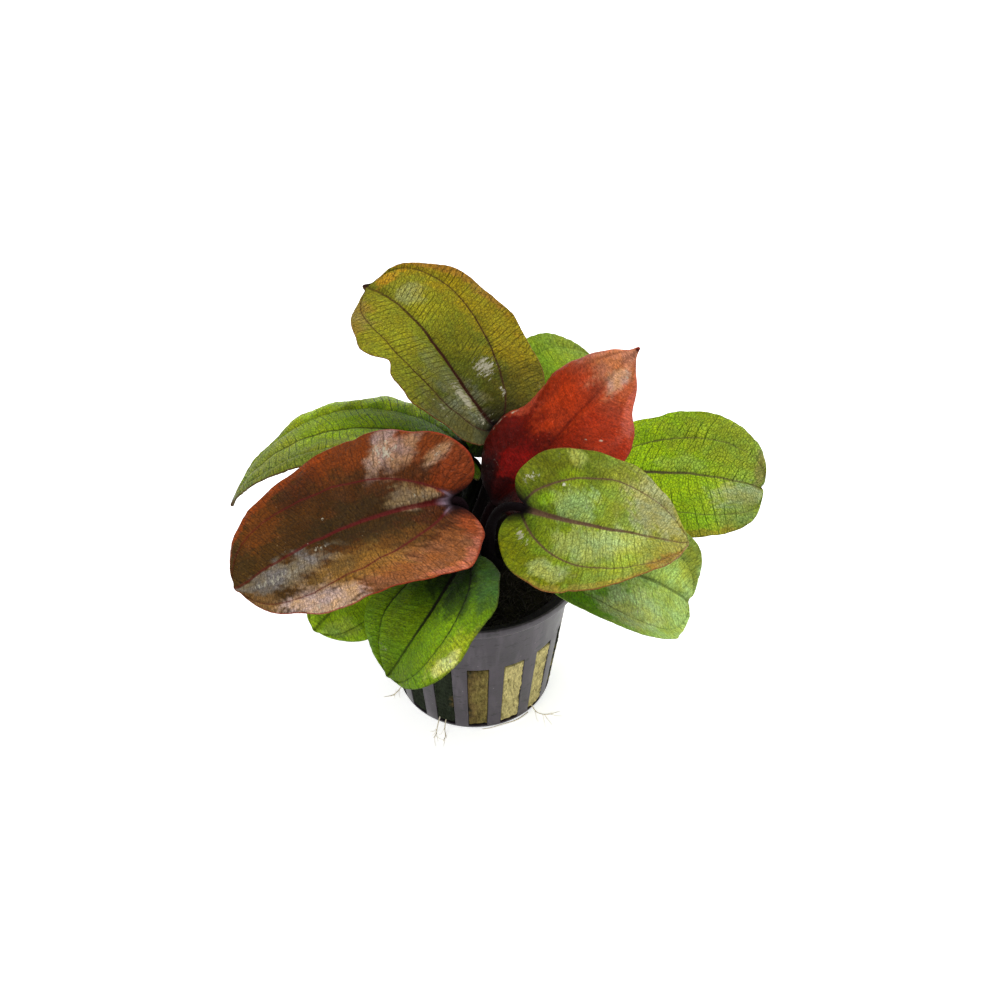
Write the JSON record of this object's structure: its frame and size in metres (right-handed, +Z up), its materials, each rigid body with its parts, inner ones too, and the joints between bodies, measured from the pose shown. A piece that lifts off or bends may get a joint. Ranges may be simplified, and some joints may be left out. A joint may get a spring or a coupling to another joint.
{
  "type": "potted aquarium plant",
  "caption": "Broad-leaved rosette water plant with green, bronze and red leaves, rooted in a rockwool plug in a small slotted net pot.",
  "frame": {"origin": "centre of the net pot's flat base, on the surface it stands on", "axes": "+Z up along the pot's axis, the picture looks along +Y, +X to its right"},
  "size_m": [0.1299, 0.1103, 0.0901],
  "materials": {
    "pot_plastic": "moulded polypropylene, dark purplish grey",
    "rockwool": "fibrous mineral wool, olive brown",
    "crown_tissue": "moist dark plant tissue",
    "leaf_olive": "wet leaf, olive with a bronze margin",
    "leaf_green": "wet leaf, fresh green",
    "leaf_bronze": "wet leaf, reddish brown",
    "leaf_crimson": "wet young leaf, bright red",
    "root_tissue": "pale fibrous root"
  },
  "bodies": {
    "root": {"net_pot": "pot_plastic", "rockwool_plug": "rockwool", "crown": "crown_tissue", "leaf_upper_left": "leaf_olive", "leaf_far_left": "leaf_green", "leaf_red_left": "leaf_bronze", "leaf_front": "leaf_green", "leaf_low_left": "leaf_green", "leaf_young_red": "leaf_crimson", "leaf_right_front": "leaf_green", "leaf_right": "leaf_green", "leaf_low_right": "leaf_green", "leaf_back": "leaf_green", "root_front_left": "root_tissue", "root_front": "root_tissue", "root_right": "root_tissue", "root_left": "root_tissue"}
  },
  "joints": []
}
